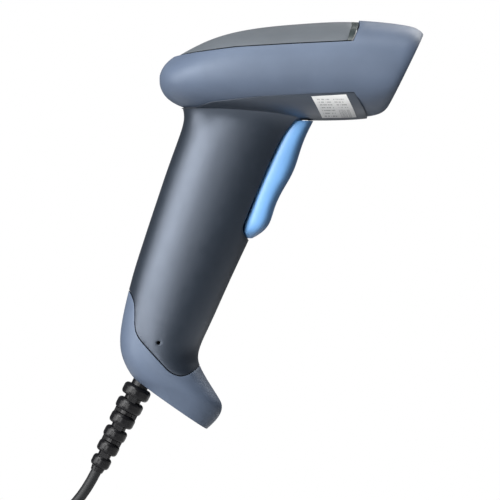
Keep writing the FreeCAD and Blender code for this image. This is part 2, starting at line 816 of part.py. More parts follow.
for index in range(6):
    led_side = (index - 2.5) * 6.0
    block(f"scan_led_{index + 1}", "<led_size>", "<led_size>", "<led_depth>",
          Placement(Vector(lamp_face, led_side, LED_HEIGHT), facing_nose))


def make_diffuser():
    """Rod lens in front of the lamps, with an end leg each side."""
    radius = size("diffuser_radius")
    rod = cross_rod(lamp_face + 4.2, LED_HEIGHT, radius, -19.0, 19.0)
    legs = [Part.makeBox(6.2, 1.5, 5.0, Vector(lamp_face, y, LED_HEIGHT - 2.5)) for y in (-20.0, 18.5)]
    keep_shape("led_diffuser", rod.fuse(legs).removeSplitter())


make_diffuser()
lid_top = engine_top + size("lid_thickness")
block("status_led", "<led_size>", "<led_size> + 1", "<led_depth>", at(64.0, 0, lid_top))
block("light_pipe", "<pipe_length>", "<pipe_width>", "<pipe_height>",
      at(64.0, 0, lid_top + size("led_depth")))
for index, (x, y) in enumerate(((41.0, -18.0), (41.0, 18.0), (67.0, -18.0), (67.0, 18.0)), start=1):
    turned(f"engine_screw_{index}", ((0, 0), (1.8, 0), (1.8, 0.8), (0, 1.2)), at(x, y, lid_top))

# ---------------------------------------------------------------- case screws

for index, (x, z) in enumerate(CASE_SCREWS, start=1):
    core = size("screw_radius")
    head = size("screw_head_radius")
    turned(
        f"case_screw_{index}",
        ((0, 0), (core, 0), (core, 10.4), (head, 10.4), (head, 12.0), (0.8, 12.0), (0.8, 11.2), (0, 11.2)),
        at(x, -1.4, z, Vector(1, 0, 0), -90),
    )

# ---------------------------------------------------------------- strain relief boot

BOOT_RINGS = (5.85, 5.6, 5.2, 4.8, 4.5, 4.0)
BOOT_START = 0.8
BOOT_PITCH = 6.4
BOOT_RING_WIDTH = 4.9
BOOT_RIM = ((0.0, 1.1), (0.3, 0.5), (0.9, 0.1), (1.5, 0.0))
BOOT_LENGTH = 39.6
BOOT_NECK = 12.5


def make_boot():
    """Ribbed sleeve, turned about its own axis, with bars that bridge the gaps by turns."""
    neck = size("boot_neck_radius")
    outline = [(0, -BOOT_NECK), (neck, -BOOT_NECK), (neck, BOOT_START)]
    for index, radius in enumerate(BOOT_RINGS):
        start = BOOT_START + BOOT_PITCH * index
        end = start + BOOT_RING_WIDTH
        core = 0.6 * radius
        outline += [(radius - drop, start + along) for along, drop in BOOT_RIM]
        outline += [(radius - drop, end - along) for along, drop in reversed(BOOT_RIM)]
        if index < len(BOOT_RINGS) - 1:
            outline += [(core, end), (core, start + BOOT_PITCH)]
    outline += [(size("cable_radius") + 0.3, BOOT_LENGTH), (0, BOOT_LENGTH)]
    body = new_body("cable_boot")
    sketch = sketch_on(body, "XZ_Plane", "boot_outline")
    draw_outline(sketch, outline)
    turn = body.newObject("PartDesign::Revolution", "boot_turn")
    turn.Profile = sketch
    turn.ReferenceAxis = (sketch, ["V_Axis"])
    for index, radius in enumerate(BOOT_RINGS[1:]):
        bar = body.newObject("PartDesign::AdditiveBox", f"boot_bar_{index + 1}")
        reach = 2 * (radius - 0.35)
        bar.Length = reach if index % 2 else 3.6
        bar.Width = 3.6 if index % 2 else reach
        bar.Height = BOOT_PITCH - BOOT_RING_WIDTH + 0.8
        start = BOOT_START + BOOT_PITCH * index + BOOT_RING_WIDTH - 0.4
        bar.Placement = Placement(Vector(-bar.Length.Value / 2, -bar.Width.Value / 2, start), Rotation())
    keep(body, "cable_boot", on_boot(0.0))


make_boot()

# ---------------------------------------------------------------- cable, coil and plug

FLOOR = -138.0
COIL_ROUND = 1.6
cable_diameter = 2 * size("cable_radius")
coil_width = size("coil_columns") * cable_diameter
coil_height = size("coil_layers") * cable_diameter
coil_floor = FLOOR + size("tie_thickness")
outer_turn = size("coil_radius") + (coil_width - cable_diameter) / 2
coil_centre = Vector(-100.0, outer_turn, coil_floor)
top_layer = coil_floor + coil_height - size("cable_radius")
bottom_layer = coil_floor + size("cable_radius")
cable_start = BOOT_EXIT + BOOT_DIRECTION * BOOT_LENGTH
CABLE_ROUTE = (
    cable_start,
    cable_start + BOOT_DIRECTION * 9.0,
    Vector(-53.4, 0, -113.8),
    Vector(-64.4, 0, -119.6),
    Vector(-76.8, 0, -121.4),
    Vector(-88.6, 0, -121.45),
)


def rounded_route(points):
    """Straight runs joined by tangent arcs, each as large as its two runs allow."""
    edges = []
    radii = []
    start = points[0]
    for before, corner, after in zip(points, points[1:], points[2:]):
        arriving = corner - before
        leaving = after - corner
        half_turn = arriving.getAngle(leaving) / 2
        shorter = min(arriving.Length, leaving.Length)
        reach = 0.45 * shorter
        radius = reach / math.tan(half_turn)
        radii.append(radius)
        arriving.normalize()
        leaving.normalize()
        first = corner - arriving * reach
        last = corner + leaving * reach
        inward = (leaving - arriving).normalize()
        middle = corner + inward * (radius / math.cos(half_turn) - radius)
        edges.append(Part.LineSegment(start, first).toShape())
        edges.append(Part.Arc(first, middle, last).toShape())
        start = last
    edges.append(Part.LineSegment(start, points[-1]).toShape())
    return Part.Wire(edges), radii


def make_cable():
    path, radii = rounded_route(CABLE_ROUTE)
    circle = Part.Circle(CABLE_ROUTE[0], BOOT_DIRECTION, size("cable_radius"))
    section = Part.Wire([circle.toShape()])
    tube = path.makePipeShell([section], True, False)
    expected = math.pi * size("cable_radius") ** 2 * path.Length
    print("cable radii", [round(radius, 1) for radius in radii])
    print("cable length", round(path.Length, 1), "volume ratio", round(tube.Volume / expected, 4))
    keep_shape("cable_run", tube)


def turned_band(grow, angle):
    """Part turn of the bundle's own section, grown by a thickness."""
    half = coil_width / 2 + grow
    inner = size("coil_radius") - half
    outer = size("coil_radius") + half
    corners = [Vector(inner, 0, -grow), Vector(outer, 0, -grow),
               Vector(outer, 0, coil_height + grow), Vector(inner, 0, coil_height + grow)]
    face = Part.Face(Part.makePolygon(corners + corners[:1]))
    return face.revolve(Vector(0, 0, 0), Vector(0, 0, 1), angle)


def make_coil():
    coil = turned_band(0.0, 360.0)
    rims = [edge for edge in coil.Edges if edge.isClosed()]
    coil = coil.makeFillet(COIL_ROUND, rims)
    keep_shape("cable_coil", coil, Placement(coil_centre, Rotation()))
    band = turned_band(size("tie_thickness"), size("tie_angle"))
    first_turn = 180 - size("tie_angle") / 2
    keep_shape("cable_tie", band.cut(coil), Placement(coil_centre, Rotation(Vector(0, 0, 1), first_turn)))


make_cable()
make_coil()

plug_height = FLOOR + 0.1 + size("grip_height") / 2
plug_start = Vector(-64.0, coil_centre.y + outer_turn, plug_height)
along_nose = Rotation(Vector(0, 0, 1), Vector(1, 0, 0))


def beyond_plug(distance, drop=0.0):
    """Placement on the plug's axis or below it, with local Z pointing out of the plug."""
    return Placement(plug_start + Vector(distance, 0, -drop), along_nose)


tail_start = Vector(plug_start.x - size("tail_length"), plug_start.y, bottom_layer)
disc("cable_tail", "<cable_radius>", "<tail_length>", Placement(tail_start, along_nose))
SLEEVE_LENGTH = 9.0
turned(
    "plug_sleeve",
    ((0, 0), (2.7, 0), (3.6, SLEEVE_LENGTH), (0, SLEEVE_LENGTH)),
    beyond_plug(0.0),
)
block("plug_grip", "<grip_height>", "<grip_width>", "<grip_length>", beyond_plug(SLEEVE_LENGTH))
plug_front = SLEEVE_LENGTH + size("grip_length")
framed_ring(
    "plug_shell",
    "<shell_height>",
    "<shell_width>",
    "<shell_height> - 2 * <shell_wall>",
    "<shell_width> - 2 * <shell_wall>",
    "<shell_length>",
    beyond_plug(plug_front),
)
block("plug_tongue", "<tongue_thickness>", "<shell_width> - 2 * <shell_wall>", "<shell_length> - 1",
      beyond_plug(plug_front, size("tongue_thickness") / 2))

# ---------------------------------------------------------------- check and export

doc.recompute()
for item in doc.Objects:
    if "Invalid" in item.State or "Error" in item.State:
        raise RuntimeError(f"{item.Name} did not recompute: {item.State}")
for feature in subparts:
    shape = feature.Shape
    if shape.isNull() or not shape.isValid():
        raise RuntimeError(f"{feature.Label} has no valid shape")
    box = shape.BoundBox
    print(feature.Label, len(shape.Solids), round(shape.Volume, 1), box)
    shape.exportStep(f"parts/{feature.Label}.step")
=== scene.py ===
"""Handheld barcode scanner: finishes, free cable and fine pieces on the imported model."""

import math

import bpy
from bpy.props import FloatProperty, FloatVectorProperty, IntProperty, PointerProperty
from mathutils import Matrix, Vector


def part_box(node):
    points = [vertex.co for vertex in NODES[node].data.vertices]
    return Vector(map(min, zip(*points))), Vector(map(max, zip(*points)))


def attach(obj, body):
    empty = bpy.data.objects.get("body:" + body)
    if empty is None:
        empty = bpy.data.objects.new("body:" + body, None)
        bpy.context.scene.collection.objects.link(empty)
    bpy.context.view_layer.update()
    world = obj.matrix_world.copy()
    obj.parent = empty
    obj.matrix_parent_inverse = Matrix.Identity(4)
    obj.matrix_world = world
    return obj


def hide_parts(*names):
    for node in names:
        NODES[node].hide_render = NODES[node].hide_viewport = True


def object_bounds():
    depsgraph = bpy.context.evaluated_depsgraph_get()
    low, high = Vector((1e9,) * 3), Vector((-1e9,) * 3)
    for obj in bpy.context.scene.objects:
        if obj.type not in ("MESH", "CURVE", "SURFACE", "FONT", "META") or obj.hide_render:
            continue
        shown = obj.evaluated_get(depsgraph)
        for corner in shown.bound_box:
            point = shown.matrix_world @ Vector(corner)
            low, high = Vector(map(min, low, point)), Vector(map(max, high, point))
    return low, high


bl_info = {
    "name": "Handheld Barcode Scanner",
    "version": (1, 0, 0),
    "blender": (4, 5, 0),
    "location": "View3D > Sidebar > Scanner",
    "description": "Finishes the scanner's housing and adds its cable, fine pieces and studio",
    "category": "Object",
}

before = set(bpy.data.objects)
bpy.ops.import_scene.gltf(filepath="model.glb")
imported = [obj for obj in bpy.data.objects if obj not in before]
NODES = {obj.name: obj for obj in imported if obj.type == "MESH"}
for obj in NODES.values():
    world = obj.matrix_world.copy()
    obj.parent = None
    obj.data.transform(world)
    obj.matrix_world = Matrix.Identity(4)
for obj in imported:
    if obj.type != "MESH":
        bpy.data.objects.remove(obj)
CAD_BOX = [list(corner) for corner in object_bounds()]
MM = 0.001
RIM_ANGLE = 0.6

# Label print: the label's slanted left edge, its foot and its size.
LABEL_SLANT = 0.584
LABEL_LEFT = 79.45 * MM
LABEL_BOTTOM = 47.0 * MM
LABEL_WIDTH = 13.9 * MM
LABEL_HEIGHT = 9.4 * MM

# Main board in the grip: its middle and its lean about Y.
BOARD_MIDDLE = Vector((-9.0, 0.0, 5.0)) * MM
BOARD_LEAN = math.radians(17.8)

# Copper tracks: their pitch, and how far one runs before it may stop.
TRACK_PITCH = 0.0011
LANE_LENGTH = 0.009
ROW_LENGTH = 0.007

# Screws: head radius, head height, core radius and shank length.
CASE_SCREW = (2.3 * MM, 1.6 * MM, 1.1 * MM, 10.4 * MM)
ENGINE_SCREW = (1.8 * MM, 1.1 * MM, 0.9 * MM, 0.0)
BOARD_SCREW = (1.9 * MM, 1.2 * MM, 1.1 * MM, 3.0 * MM)

# Chip components on the main board, along and across it from its middle, in millimetres.
FRONT_SPOTS = (
    (-13.0, -7.0), (-10.0, -7.0), (-7.0, -7.0), (-4.0, -7.0), (-12.0, -3.0), (-8.0, -3.0),
    (14.0, -4.0), (14.0, 0.0), (14.0, 4.0), (18.0, -7.0), (18.0, -3.5), (18.0, 0.0),
    (22.0, -6.0), (22.0, -2.0), (22.0, 2.0), (22.0, 6.0), (-3.0, -8.0), (0.0, -8.0),
)
BACK_ROWS = (-24.0, -12.0, 2.0, 12.0, 24.0)
BACK_COLUMNS = (-6.0, -2.0, 2.0, 6.0)
BOARD_HALF = 0.8 * MM
LEG_BEND = ((0.25 * MM, 0.0, 0.0), (0.2 * MM, 0.0, -0.5 * MM), (0.45 * MM, 0.0, 0.0))
DOME_RADIUS = 1.15 * MM
DOME_FLATTENING = 0.8

# Studio: the lights' names, places, sizes and powers, all aimed at one point, and the sky.
LIGHTS = (
    ("top_light", (0.0, -0.3, 1.0), (0.8, 0.6), 6.0),
    ("side_light", (-0.7, -0.88, 0.5), (0.9, 0.6), 20.0),
    ("left_light", (-1.1, -0.35, 0.05), (0.6, 0.8), 9.0),
    ("low_light", (-0.4, -1.1, -0.1), (0.5, 0.3), 4.5),
    ("back_light", (0.6, 0.75, 0.8), (0.9, 0.7), 9.0),
)
LIGHT_AIM = Vector((0.02, 0.0, 0.0))
SKY_COLOUR = (0.93, 0.96, 1.0)
SKY_STRENGTH = 0.14
SKY_RISE = 0.04


# ---------------------------------------------------------------- settings

def colour(label, description, value):
    return FloatVectorProperty(
        name=label, description=description, subtype="COLOR", size=3, min=0.0, max=1.0, default=value
    )


def length(label, description, value):
    return FloatProperty(
        name=label, description=description, subtype="DISTANCE", unit="LENGTH", min=0.0, default=value
    )


class ScannerColours(bpy.types.PropertyGroup):
    """Base colours of the mouldings and trim."""

    cover: colour("Cover", "Blue-grey head cover and end cap", (0.085, 0.111, 0.162))
    shell: colour("Shell", "Near-black blue grip and keel", (0.006, 0.01, 0.016))
    panel: colour("Panel", "Dark grey top panel", (0.09, 0.102, 0.115))
    trigger: colour("Trigger", "Light blue trigger", (0.18, 0.4, 0.75))
    lens: colour("Status lens", "Smoky green-grey lens of the status lamp", (0.03, 0.04, 0.04))
    window: colour("Window", "Dark red scan window", (0.11, 0.003, 0.005))
    label: colour("Label", "Off-white label film", (0.92, 0.92, 0.91))
    boot: colour("Boot", "Glossy black strain relief", (0.005, 0.005, 0.006))
    jacket: colour("Cable", "Dark grey cable jacket", (0.008, 0.009, 0.01))
    board: colour("Board", "Green solder mask", (0.012, 0.11, 0.045))


class ScannerSizes(bpy.types.PropertyGroup):
    """Sizes of the cable and its coil."""

    cable_diameter: length("Cable diameter", "Outside diameter of the cable's jacket", 4.5 * MM)
    cable_length: length("Cable length", "Real length of the cable from boot to plug", 1.75)
    coil_radius: length("Coil radius", "Radius at the middle of the coil's turns", 25.0 * MM)
    coil_columns: IntProperty(name="Columns", description="Turns side by side in the coil", default=3)
    coil_layers: IntProperty(name="Layers", description="Turns on top of each other", default=4)
    coil_steps: IntProperty(name="Steps", description="Control points for each turn", default=16)


class ScannerStage(bpy.types.PropertyGroup):
    """Camera and lights."""

    view_width: length("View width", "Width of the view at the scanner", 205.0 * MM)
    view_distance: length("Distance", "Camera's distance from the scanner", 1.4)
    view_centre: FloatVectorProperty(
        name="View centre", description="Point the camera looks at", subtype="XYZ", unit="LENGTH",
        size=3, default=(22.1 * MM, 0.0, -5.7 * MM),
    )
    floor_radius: length("Floor radius", "Radius of the pale floor", 0.38)


# ---------------------------------------------------------------- shader graphs

class Wire:
    """A node's output, with arithmetic that adds the nodes it needs."""

    def __init__(self, graph, socket):
        self.graph = graph
        self.socket = socket

    def maths(self, operation, *values):
        return self.graph.node("ShaderNodeMath", {"operation": operation}, *values)

    def __add__(self, other):
        return self.maths("ADD", self, other)

    __radd__ = __add__

    def __sub__(self, other):
        return self.maths("SUBTRACT", self, other)

    def __rsub__(self, other):
        return self.maths("SUBTRACT", other, self)

    def __mul__(self, other):
        return self.maths("MULTIPLY", self, other)

    __rmul__ = __mul__

    def __truediv__(self, other):
        return self.maths("DIVIDE", self, other)

    def __lt__(self, other):
        return self.maths("LESS_THAN", self, other)

    def __gt__(self, other):
        return self.maths("GREATER_THAN", self, other)

    def __abs__(self):
        return self.maths("ABSOLUTE", self)

    def fraction(self):
        return self.maths("FRACT", self)

    def floor(self):
        return self.maths("FLOOR", self)

    def wave(self):
        return self.maths("SINE", self)

    def over(self, other):
        """The larger of two masks."""
        return self.maths("MAXIMUM", self, other)

    def smooth(self, low, high):
        """0 below one value and 1 above the other, with a soft step between."""
        settings = {"interpolation_type": "SMOOTHSTEP"}
        return self.graph.node("ShaderNodeMapRange", settings, self, low, high)


class Graph:
    """Node tree of one material or of the world."""

    def __init__(self, owner, space="Object"):
        owner.use_nodes = True
        self.owner = owner
        self.tree = owner.node_tree
        self.tree.nodes.clear()
        self.place = self.node("ShaderNodeTexCoord", output=space)

    def put(self, socket, value):
        """Link a wire to a socket, or set a constant on it."""
        if isinstance(value, Wire):
            self.tree.links.new(value.socket, socket)
        elif socket.type == "RGBA":
            socket.default_value = (*value[:3], 1.0)
        else:
            socket.default_value = value

    def node(self, kind, settings=None, *values, output=0, sockets=None, **named):
        """Any node: its settings, then its inputs by position, by index or by name."""
        made = self.tree.nodes.new(kind)
        for key, value in (settings or {}).items():
            setattr(made, key, value)
        for index, value in (*enumerate(values), *(sockets or {}).items()):
            self.put(made.inputs[index], value)
        for key, value in named.items():
            self.put(made.inputs[key.replace("_", " ")], value)
        return Wire(self, made.outputs[output]) if made.outputs else None

    def noise(self, scale, detail=2.0, roughness=0.5, vector=None):
        return self.node(
            "ShaderNodeTexNoise", None,
            Vector=vector or self.place, Scale=scale, Detail=detail, Roughness=roughness,
        )

    def mix(self, factor, first, second):
        """Blend of two colours; a colour mix has its factor and colours at inputs 0, 6 and 7."""
        sockets = {0: factor, 6: first, 7: second}
        return self.node("ShaderNodeMix", {"data_type": "RGBA"}, output=2, sockets=sockets)

    def axes(self, vector=None):
        """The three components of a vector, by default of the graph's own coordinates."""
        split = self.node("ShaderNodeSeparateXYZ", None, vector or self.place).socket.node
        return [Wire(self, output) for output in split.outputs]

    def bump(self, height, distance, strength, normal=None):
        named = {"Height": height, "Distance": distance, "Strength": strength}
        if normal is not None:
            named["Normal"] = normal
        return self.node("ShaderNodeBump", None, **named)

    def joined(self, x, y, z):
        return self.node("ShaderNodeCombineXYZ", None, x, y, z)

    def rim_mask(self, soft_normal):
        """1 on the rims of the mesh, where the rounded normal leaves the true one."""
        true_normal = self.node("ShaderNodeNewGeometry", output="Normal")
        agreement = self.node(
            "ShaderNodeVectorMath", {"operation": "DOT_PRODUCT"}, soft_normal, true_normal, output=1
        )
        return 1.0 - agreement.smooth(0.75, 0.99)

    def rounded(self, radius):
        """Normal that rounds the edges of the mesh by a radius."""
        return self.node("ShaderNodeBevel", {"samples": 4}, Radius=radius)

    def finish(self, **inputs):
        """Put the shader with these inputs on the surface."""
        shader = self.node("ShaderNodeBsdfPrincipled", None, **inputs)
        self.node("ShaderNodeOutputMaterial", None, Surface=shader)
        return self.owner


def material_graph(name):
    return Graph(bpy.data.materials.new(name))


def shade(value, amount):
    """A colour made lighter or darker by a factor."""
    return tuple(min(1.0, channel * amount) for channel in value)


# ---------------------------------------------------------------- finishes

def moulded(name, base, roughness, grain=0.00002, edge=0.0003, gloss=0.5, tint=(1.0, 1.0, 1.0)):
    """Moulded plastic: eroded grain, faint mottling, and rims made glossier, with a painted highlight that
    makes them paler in patches.
    """
    graph = material_graph(name)
    mottle = graph.noise(70.0, 3.0)
    speckle = graph.noise(2600.0, 2.0)
    soft_normal = graph.rounded(edge)
    sheen_mask = graph.rim_mask(soft_normal) * mottle.smooth(0.3, 0.6)
    tone = graph.mix(mottle.smooth(0.3, 0.7), shade(base, 0.95), shade(base, 1.05))
    # painted highlight: the rounded rims are painted paler in patches
    tone = graph.mix(sheen_mask * 0.35, tone, shade(base, 1.8))
    height = speckle + 0.4 * graph.noise(900.0, 1.0)
    return graph.finish(
        Base_Color=tone,
        Roughness=roughness + 0.1 * (graph.noise(300.0) - 0.5) - 0.12 * sheen_mask,
        Normal=graph.bump(height, grain, 0.6, soft_normal),
        Specular_IOR_Level=gloss,
        Specular_Tint=tint,
    )


def fine_plastic(name, base, roughness):
    """Small moulded part, with its colour and gloss slightly uneven."""
    graph = material_graph(name)
    mottle = graph.noise(600.0, 3.0)
    return graph.finish(
        Base_Color=graph.mix(mottle, shade(base, 0.85), shade(base, 1.15)),
        Roughness=roughness + 0.12 * (mottle - 0.5),
        Normal=graph.bump(graph.noise(1500.0), 0.000004, 0.5),
    )


def plain_metal(name, base, roughness):
    """Plated metal with fine scratches."""
    graph = material_graph(name)
    scratch = graph.noise(1800.0, 4.0, 0.6)
    return graph.finish(
        Base_Color=graph.mix(scratch, shade(base, 0.88), base),
        Metallic=1.0,
        Roughness=roughness + 0.15 * (scratch - 0.5),
        Normal=graph.bump(scratch, 0.00001, 0.5),
    )


def clear_resin(name, base, alpha, roughness=0.06):
    """Clear or tinted plastic with a polished coat and faint smears."""
    graph = material_graph(name)
    smear = graph.noise(90.0, 4.0)
    return graph.finish(
        Base_Color=graph.mix(smear, shade(base, 0.9), shade(base, 1.1)),
        Roughness=roughness + 0.06 * smear.smooth(0.4, 0.8),
        Alpha=alpha,
        Coat_Weight=0.6,
    )


def cable_jacket(name, base):
    """Soft jacket with a faint sheen and rubbed patches."""
    graph = material_graph(name)
    mottle = graph.noise(400.0, 3.0)
    sheen_mask = graph.noise(45.0, 2.0).smooth(0.5, 0.75)
    return graph.finish(
        Base_Color=graph.mix(mottle, shade(base, 0.85), shade(base, 1.2)),
        Roughness=0.5 + 0.12 * (mottle - 0.5) - 0.08 * sheen_mask,
        Normal=graph.bump(graph.noise(1500.0), 0.000006, 0.6),
        Specular_IOR_Level=0.3,
    )


def printed_label(name, film):
    """Label film printed with plain grey dashes and a block of bars, clear of its edges."""
    graph = material_graph(name)
    x, _, z = graph.axes()
    across = (x + LABEL_SLANT * z - LABEL_LEFT) / LABEL_WIDTH
    up = (z - LABEL_BOTTOM) / LABEL_HEIGHT
    row = (up * 9.0).fraction()
    breaks = graph.noise(1.0, 1.0, 0.5, graph.joined(across * 26.0, (up * 9.0).floor() * 7.3, 0.0))
    dashes = (row > 0.35) * (row < 0.72) * (breaks > 0.47)
    column = (across > 0.1) * (across < 0.48) * (up > 0.14) * (up < 0.88)
    bars = (graph.noise(1.0, 0.0, 0.5, graph.joined(across * 70.0, 0.0, 3.1)) > 0.5)
    block = (across > 0.58) * (across < 0.9) * (up > 0.12) * (up < 0.42)
    upper = (across > 0.58) * (across < 0.9) * (up > 0.5) * (up < 0.88) * dashes
    ink = (dashes * column).over(bars * block).over(upper)
    paper = graph.mix(graph.noise(500.0), shade(film, 0.95), film)
    return graph.finish(
        Base_Color=graph.mix(ink * 0.62, paper, (0.2, 0.2, 0.21)),
        Roughness=0.35 + 0.15 * ink,
        Normal=graph.bump(graph.noise(300.0), 0.00001, 0.4),
    )


def woven_strap(name, base):
    """Hook-and-loop strap: a fine weave round the coil."""
    graph = material_graph(name)
    x, y, z = graph.axes()
    warp = ((y + x * 0.2) * 4200.0).wave()
    weft = ((z + x) * 4200.0).wave()
    weave = 0.5 + 0.25 * (warp + weft)
    fuzz = graph.noise(2500.0, 4.0, 0.7)
    return graph.finish(
        Base_Color=graph.mix(weave * fuzz, shade(base, 0.5), shade(base, 2.0)),
        Roughness=0.85 + 0.1 * (fuzz - 0.5),
        Normal=graph.bump(weave + 0.6 * fuzz, 0.00015, 0.8),
    )


def solder_mask(name, base, turn=0.0):
    """Circuit board: copper traces and vias under the mask, on the board's own grid."""
    graph = material_graph(name)
    place = graph.node("ShaderNodeMapping", None, Vector=graph.place, Rotation=(0.0, turn, 0.0))
    _, y, z = graph.axes(place)
    y_lanes = y / TRACK_PITCH
    z_lanes = z / TRACK_PITCH
    lane_cell = graph.joined(y_lanes.floor() * 3.7, (z / LANE_LENGTH).floor() * 1.9, 0.0)
    row_cell = graph.joined(z_lanes.floor() * 2.9, (y / ROW_LENGTH).floor() * 2.3, 5.0)
    lane_seed = graph.noise(1.0, 0.0, 0.5, lane_cell)
    row_seed = graph.noise(1.0, 0.0, 0.5, row_cell)
    along = (abs(y_lanes.fraction() - 0.5) < 0.17) * (lane_seed > 0.5)
    across = (abs(z_lanes.fraction() - 0.5) < 0.17) * (row_seed > 0.56)
    copper = along.over(across)
    via_place = graph.joined(0.0, y, z)
    via = graph.node("ShaderNodeTexVoronoi", None, Vector=via_place, Scale=420.0, Randomness=0.5)
    pad = via < 0.14
    tone = graph.mix(copper, base, shade(base, 1.9))
    tone = graph.mix(pad, tone, (0.75, 0.6, 0.25))
    return graph.finish(
        Base_Color=tone,
        Roughness=0.3 + 0.08 * copper,
        Normal=graph.bump(copper + pad, 0.00003, 0.6),
    )


def paint(material, *names):
    """Give CAD nodes a material."""
    for name in names:
        data = NODES[name].data
        data.materials.clear()
        data.materials.append(material)


def soften(names, width, segments=2):
    """Round the sharp rims of CAD nodes."""
    for name in names:
        weld = NODES[name].modifiers.new("weld", "WELD")
        weld.merge_threshold = 0.000002
        bevel = NODES[name].modifiers.new("rims", "BEVEL")
        bevel.limit_method = "ANGLE"
        bevel.angle_limit = RIM_ANGLE
        bevel.width = width
        bevel.segments = segments
        bevel.use_clamp_overlap = True


def nothing_selected():
    """Object mode with nothing selected."""
    if bpy.context.object is not None and bpy.context.object.mode != "OBJECT":
        bpy.ops.object.mode_set(mode="OBJECT")
    bpy.ops.object.select_all(action="DESELECT")


# ---------------------------------------------------------------- modelling

def settled():
    """Put the active piece's place in its mesh."""
    bpy.ops.object.transform_apply(location=True, rotation=True, scale=True)
    return bpy.context.object


def edit(select="VERT"):
    """Edit mode on the active piece with nothing selected."""
    bpy.ops.object.mode_set(mode="EDIT")
    bpy.ops.mesh.select_mode(type=select)
    bpy.ops.mesh.select_all(action="DESELECT")
    bpy.ops.object.mode_set(mode="OBJECT")
    return bpy.context.object.data


def pick_faces(test):
    """Select the faces whose middle and normal pass a test, and stay in edit mode."""
    mesh = edit("FACE")
    for face in mesh.polygons:
        face.select = test(face.center, face.normal)
    bpy.ops.object.mode_set(mode="EDIT")


def pick_edges(test):
    """Select the edges whose two ends pass a test, and stay in edit mode."""
    mesh = edit("EDGE")
    for side in mesh.edges:
        side.select = test(*[mesh.vertices[index].co for index in side.vertices])
    bpy.ops.object.mode_set(mode="EDIT")


def done():
    """Leave edit mode with the active piece."""
    bpy.ops.object.mode_set(mode="OBJECT")
    return bpy.context.object


def drawn_out(width, height, start, steps):
    """Flat bar: a small rectangle facing +X, drawn out step by step."""
    nothing_selected()
    bpy.ops.mesh.primitive_plane_add(size=1.0, location=start, rotation=(0.0, math.pi / 2, 0.0))
    bpy.context.object.scale = (height, width, 1.0)
    settled()
    bpy.ops.object.mode_set(mode="EDIT")
    for step in steps:
        bpy.ops.mesh.extrude_region_move(TRANSFORM_OT_translate={"value": step})
    bpy.ops.mesh.select_all(action="SELECT")
    bpy.ops.mesh.normals_make_consistent(inside=False)
    return done()


def rimmed_block(size, rim, segments=2):
    """Block at the origin, on its base, with rounded rims."""
    nothing_selected()
    bpy.ops.mesh.primitive_cube_add(size=1.0, location=(0.0, 0.0, size[2] / 2))
    bpy.context.object.scale = size
    settled()
    bpy.ops.object.mode_set(mode="EDIT")
    bpy.ops.mesh.select_all(action="SELECT")
    bpy.ops.mesh.bevel(offset=rim, segments=segments, affect="EDGES")
    return done()


def rounded_disc(radius, height, rim):
    """Disc at the origin, on its base, with a rounded top rim."""
    nothing_selected()
    bpy.ops.mesh.primitive_cylinder_add(
        vertices=24, radius=radius, depth=height, location=(0.0, 0.0, height / 2)
    )
    settled()
    pick_edges(lambda a, b: min(a.z, b.z) > 0.99 * height)
    bpy.ops.mesh.bevel(offset=rim, segments=3, affect="EDGES")
    return done()


def cut_away(piece, cutter):
    """Cut one piece out of another and drop the cutter."""
    modifier = piece.modifiers.new("cut", "BOOLEAN")
    modifier.operation = "DIFFERENCE"
    modifier.solver = "EXACT"
    modifier.object = cutter
    nothing_selected()
    bpy.context.view_layer.objects.active = piece
    piece.select_set(True)
    bpy.ops.object.modifier_apply(modifier=modifier.name)
    bpy.data.objects.remove(cutter)


def joined_up(pieces):
    """Pieces joined into the first of them."""
    nothing_selected()
    for piece in pieces:
        piece.select_set(True)
    bpy.context.view_layer.objects.active = pieces[0]
    if len(pieces) > 1:
        bpy.ops.object.join()
    return bpy.context.object


def repeated(model, places):
    """Copies of a model, each with its own mesh, joined into one piece; the model goes."""
    made = []
    for place in places:
        copy = bpy.data.objects.new(model.name, model.data.copy())
        copy.data.transform(place)
        bpy.context.scene.collection.objects.link(copy)
        made.append(copy)
    bpy.data.objects.remove(model)
    return joined_up(made)


def handed_over(piece, name, slot, *materials, smooth=RIM_ANGLE):
    """Name a finished piece of the housing and give it its materials; its slot is not used."""
    piece.name = name
    piece.data.name = name
    if materials:
        piece.data.materials.clear()
        for material in materials:
            piece.data.materials.append(material)
    nothing_selected()
    piece.select_set(True)
    bpy.context.view_layer.objects.active = piece
    bpy.ops.object.shade_smooth_by_angle(angle=smooth)
    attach(piece, "housing")


def moved(x, y, z):
    return Matrix.Translation((x, y, z))


def turned(angle, axis):
    return Matrix.Rotation(angle, 4, axis)


def on_board(along, across, height=BOARD_HALF):
    """Place on the front of the main board, with local Z off its face."""
    board = Matrix.Translation(BOARD_MIDDLE) @ turned(BOARD_LEAN, "Y")
    return board @ moved(height, across, along) @ turned(math.pi / 2, "Y")


def middle(name):
    """Middle of a CAD node's box."""
    low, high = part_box(name)
    return (low + high) / 2


# ---------------------------------------------------------------- stage

